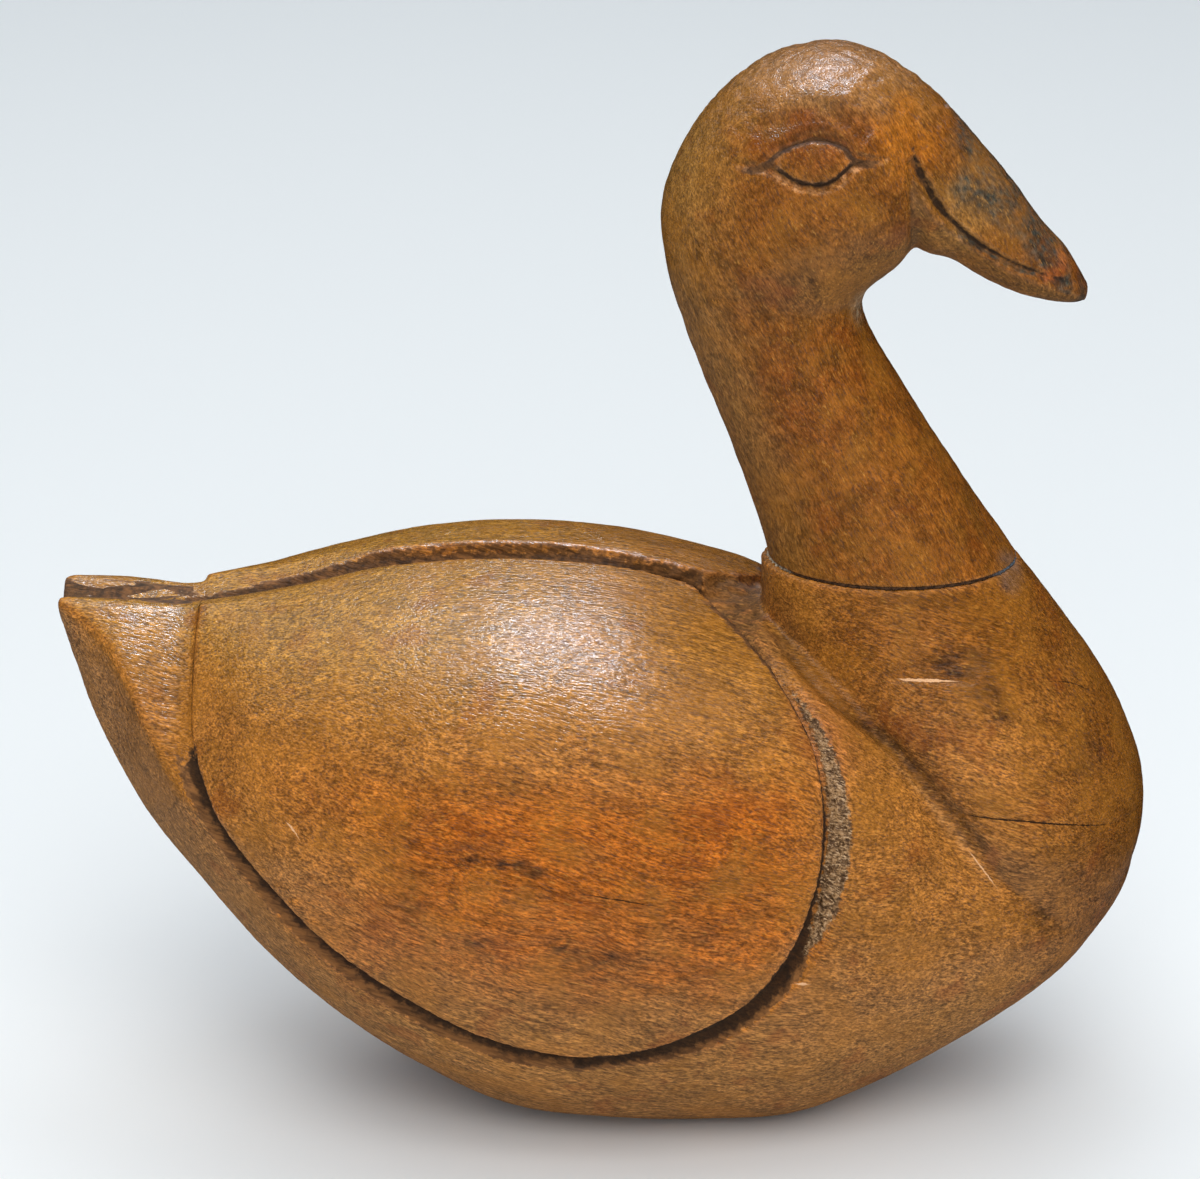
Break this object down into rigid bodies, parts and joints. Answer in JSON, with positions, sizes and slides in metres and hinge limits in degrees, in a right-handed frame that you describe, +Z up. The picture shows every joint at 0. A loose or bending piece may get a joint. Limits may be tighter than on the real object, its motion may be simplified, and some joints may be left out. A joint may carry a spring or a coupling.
{
  "type": "carved wooden duck figure",
  "caption": "Carved wooden duck figure with an upright neck, a long drooping bill and folded wings outlined by deep gouge cuts, standing on its flat underside.",
  "frame": {"origin": "middle of the flat underside that the duck stands on", "axes": "+X to the duck's breast and bill, +Y to its left wing, +Z up, away from the surface it stands on"},
  "size_m": [0.1516, 0.0776, 0.1515],
  "materials": {
    "body_wood": "worn satin varnish on warm orange brown wood, dark brown in the gouge cuts, ochre on the back",
    "neck_wood": "worn satin varnish on brown wood, lighter and orange on the crown, greyish on top of the bill"
  },
  "bodies": {
    "root": {"body": "body_wood", "head_and_neck": "neck_wood"}
  },
  "joints": []
}
